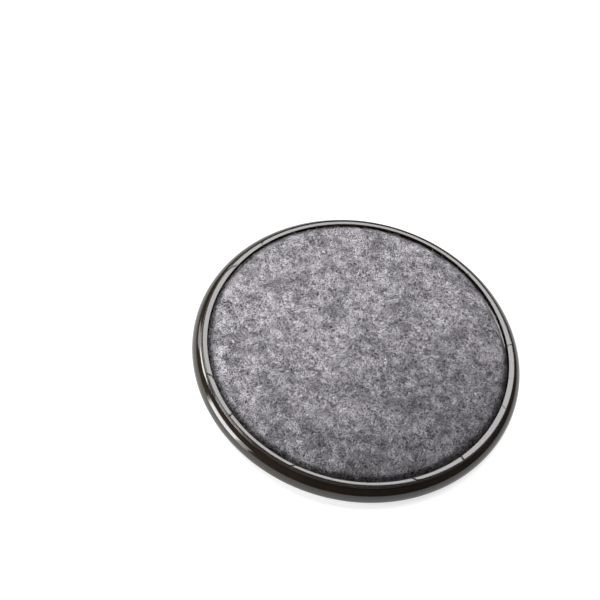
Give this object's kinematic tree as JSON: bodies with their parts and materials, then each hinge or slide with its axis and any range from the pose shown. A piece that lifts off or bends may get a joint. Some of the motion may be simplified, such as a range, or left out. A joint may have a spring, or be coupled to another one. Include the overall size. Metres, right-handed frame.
{
  "type": "castor cup",
  "caption": "Shallow round castor cup with a square seat for a furniture leg on one face and a felt disc on the other.",
  "frame": {"origin": "centre of the mouth rim, in the plane that the cup stands on as pictured, mouth down", "axes": "+Z along the axis of the cup, out of the felt face; the sides of the square seat lie along X and Y. In use the cup is turned over, felt down."},
  "size_m": [0.064, 0.064, 0.0048],
  "materials": {
    "cup": "dark brown moulded plastic with a satin gloss",
    "felt_pad": "heathered mid-grey needled felt"
  },
  "bodies": {
    "root": {"cup": "cup", "felt_pad": "felt_pad"}
  },
  "joints": []
}
